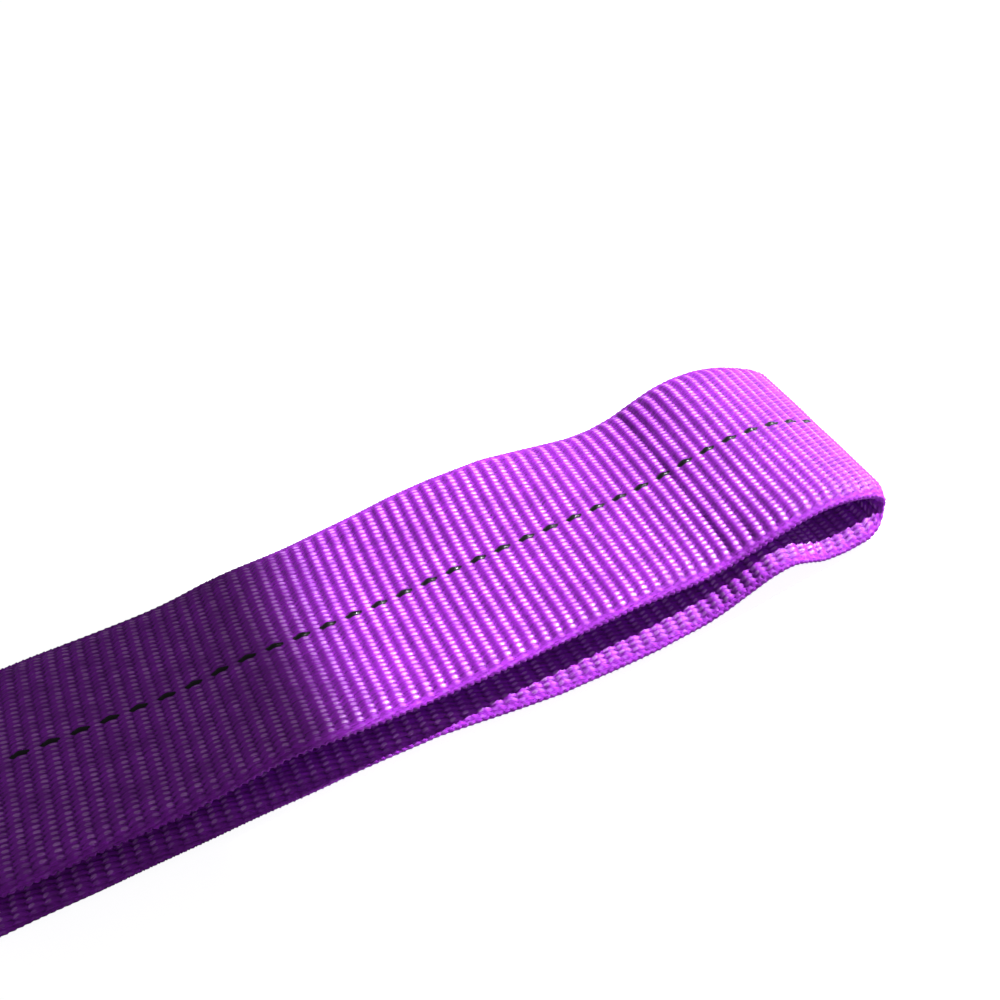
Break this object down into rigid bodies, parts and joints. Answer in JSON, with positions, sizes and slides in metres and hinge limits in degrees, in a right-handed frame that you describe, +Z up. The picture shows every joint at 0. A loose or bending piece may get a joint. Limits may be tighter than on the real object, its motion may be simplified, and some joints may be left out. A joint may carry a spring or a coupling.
{
  "type": "flat web sling",
  "caption": "Flat two-ply web lifting sling with a soft eye at each end, sewn throats, a lapped join and a blank label.",
  "frame": {"origin": "on the resting plane, under the middle of the sling", "axes": "+X along the sling towards eye A, +Y across the web, +Z up from the resting plane"},
  "size_m": [1.0052, 0.03, 0.0102],
  "materials": {
    "web": "ribbed polyester webbing",
    "thread": "bonded polyester thread",
    "label": "blank woven label",
    "label_cover": "clear film"
  },
  "bodies": {
    "mid_panel": {"web_mid_top": "web", "web_mid_bottom": "web", "web_lap_tail": "web", "seam_stitching_mid": "thread", "lap_stitching": "thread", "label_tab": "label", "label_stitching": "thread"},
    "label_flap": {"label": "label", "label_cover": "label_cover"},
    "right_panel": {"web_right_top": "web", "web_right_bottom": "web", "seam_stitching_right": "thread"},
    "left_panel": {"web_left_top": "web", "web_left_bottom": "web", "seam_stitching_left": "thread"},
    "throat_a": {"web_throat_a_top": "web", "web_throat_a_bottom": "web", "throat_stitching_a": "thread"},
    "eye_a_upper_leg": {"web_eye_a_upper_leg": "web"},
    "eye_a_upper_crown": {"web_eye_a_upper_crown": "web"},
    "eye_a_lower_crown": {"web_eye_a_lower_crown": "web"},
    "eye_a_lower_leg": {"web_eye_a_lower_leg": "web"},
    "throat_b": {"web_throat_b_top": "web", "web_throat_b_bottom": "web", "throat_stitching_b": "thread"},
    "eye_b_upper_leg": {"web_eye_b_upper_leg": "web"},
    "eye_b_upper_crown": {"web_eye_b_upper_crown": "web"},
    "eye_b_lower_crown": {"web_eye_b_lower_crown": "web"},
    "eye_b_lower_leg": {"web_eye_b_lower_leg": "web"}
  },
  "joints": [
    {"name": "bend_right", "type": "hinge", "parent": "mid_panel", "child": "right_panel", "pos_m": [0.11, 0, 0.0026], "axis": [0, -1, 0], "range_deg": [-90, 90]},
    {"name": "bend_left", "type": "hinge", "parent": "mid_panel", "child": "left_panel", "pos_m": [-0.11, 0, 0.0026], "axis": [0, -1, 0], "range_deg": [-90, 90]},
    {"name": "neck_a", "type": "hinge", "parent": "right_panel", "child": "throat_a", "pos_m": [0.19, 0, 0.0026], "axis": [0, 1, 0], "range_deg": [-90, 90]},
    {"name": "neck_b", "type": "hinge", "parent": "left_panel", "child": "throat_b", "pos_m": [-0.19, 0, 0.0026], "axis": [0, 1, 0], "range_deg": [-90, 90]},
    {"name": "label_flip", "type": "hinge", "parent": "mid_panel", "child": "label_flap", "pos_m": [0.021, 0, 0.0064], "axis": [0, -1, 0], "range_deg": [0, 150]},
    {"name": "eye_a_open", "type": "hinge", "parent": "throat_a", "child": "eye_a_upper_leg", "pos_m": [0.25, 0, 0.0042], "axis": [0, -1, 0], "range_deg": [0, 40]},
    {"name": "eye_a_upper_flex", "type": "hinge", "parent": "eye_a_upper_leg", "child": "eye_a_upper_crown", "pos_m": [0.375, 0, 0.0042], "axis": [0, -1, 0], "range_deg": [-80, 0]},
    {"name": "eye_a_crown_flex", "type": "hinge", "parent": "eye_a_upper_crown", "child": "eye_a_lower_crown", "pos_m": [0.50049, 0, 0.00275], "axis": [0, -1, 0], "range_deg": [0, 80]},
    {"name": "eye_a_lower_flex", "type": "hinge", "parent": "eye_a_lower_crown", "child": "eye_a_lower_leg", "pos_m": [0.375, 0, 0.0013], "axis": [0, -1, 0], "range_deg": [-80, 0]},
    {"name": "eye_b_open", "type": "hinge", "parent": "throat_b", "child": "eye_b_upper_leg", "pos_m": [-0.25, 0, 0.0042], "axis": [0, 1, 0], "range_deg": [0, 40]},
    {"name": "eye_b_upper_flex", "type": "hinge", "parent": "eye_b_upper_leg", "child": "eye_b_upper_crown", "pos_m": [-0.375, 0, 0.0042], "axis": [0, 1, 0], "range_deg": [-80, 0]},
    {"name": "eye_b_crown_flex", "type": "hinge", "parent": "eye_b_upper_crown", "child": "eye_b_lower_crown", "pos_m": [-0.50049, 0, 0.00275], "axis": [0, 1, 0], "range_deg": [0, 80]},
    {"name": "eye_b_lower_flex", "type": "hinge", "parent": "eye_b_lower_crown", "child": "eye_b_lower_leg", "pos_m": [-0.375, 0, 0.0013], "axis": [0, 1, 0], "range_deg": [-80, 0]}
  ],
  "couplings": [
    {"joint": "eye_a_upper_flex", "follows": "eye_a_open", "ratio": -2},
    {"joint": "eye_a_crown_flex", "follows": "eye_a_open", "ratio": 2},
    {"joint": "eye_a_lower_flex", "follows": "eye_a_open", "ratio": -2},
    {"joint": "eye_b_upper_flex", "follows": "eye_b_open", "ratio": -2},
    {"joint": "eye_b_crown_flex", "follows": "eye_b_open", "ratio": 2},
    {"joint": "eye_b_lower_flex", "follows": "eye_b_open", "ratio": -2}
  ]
}
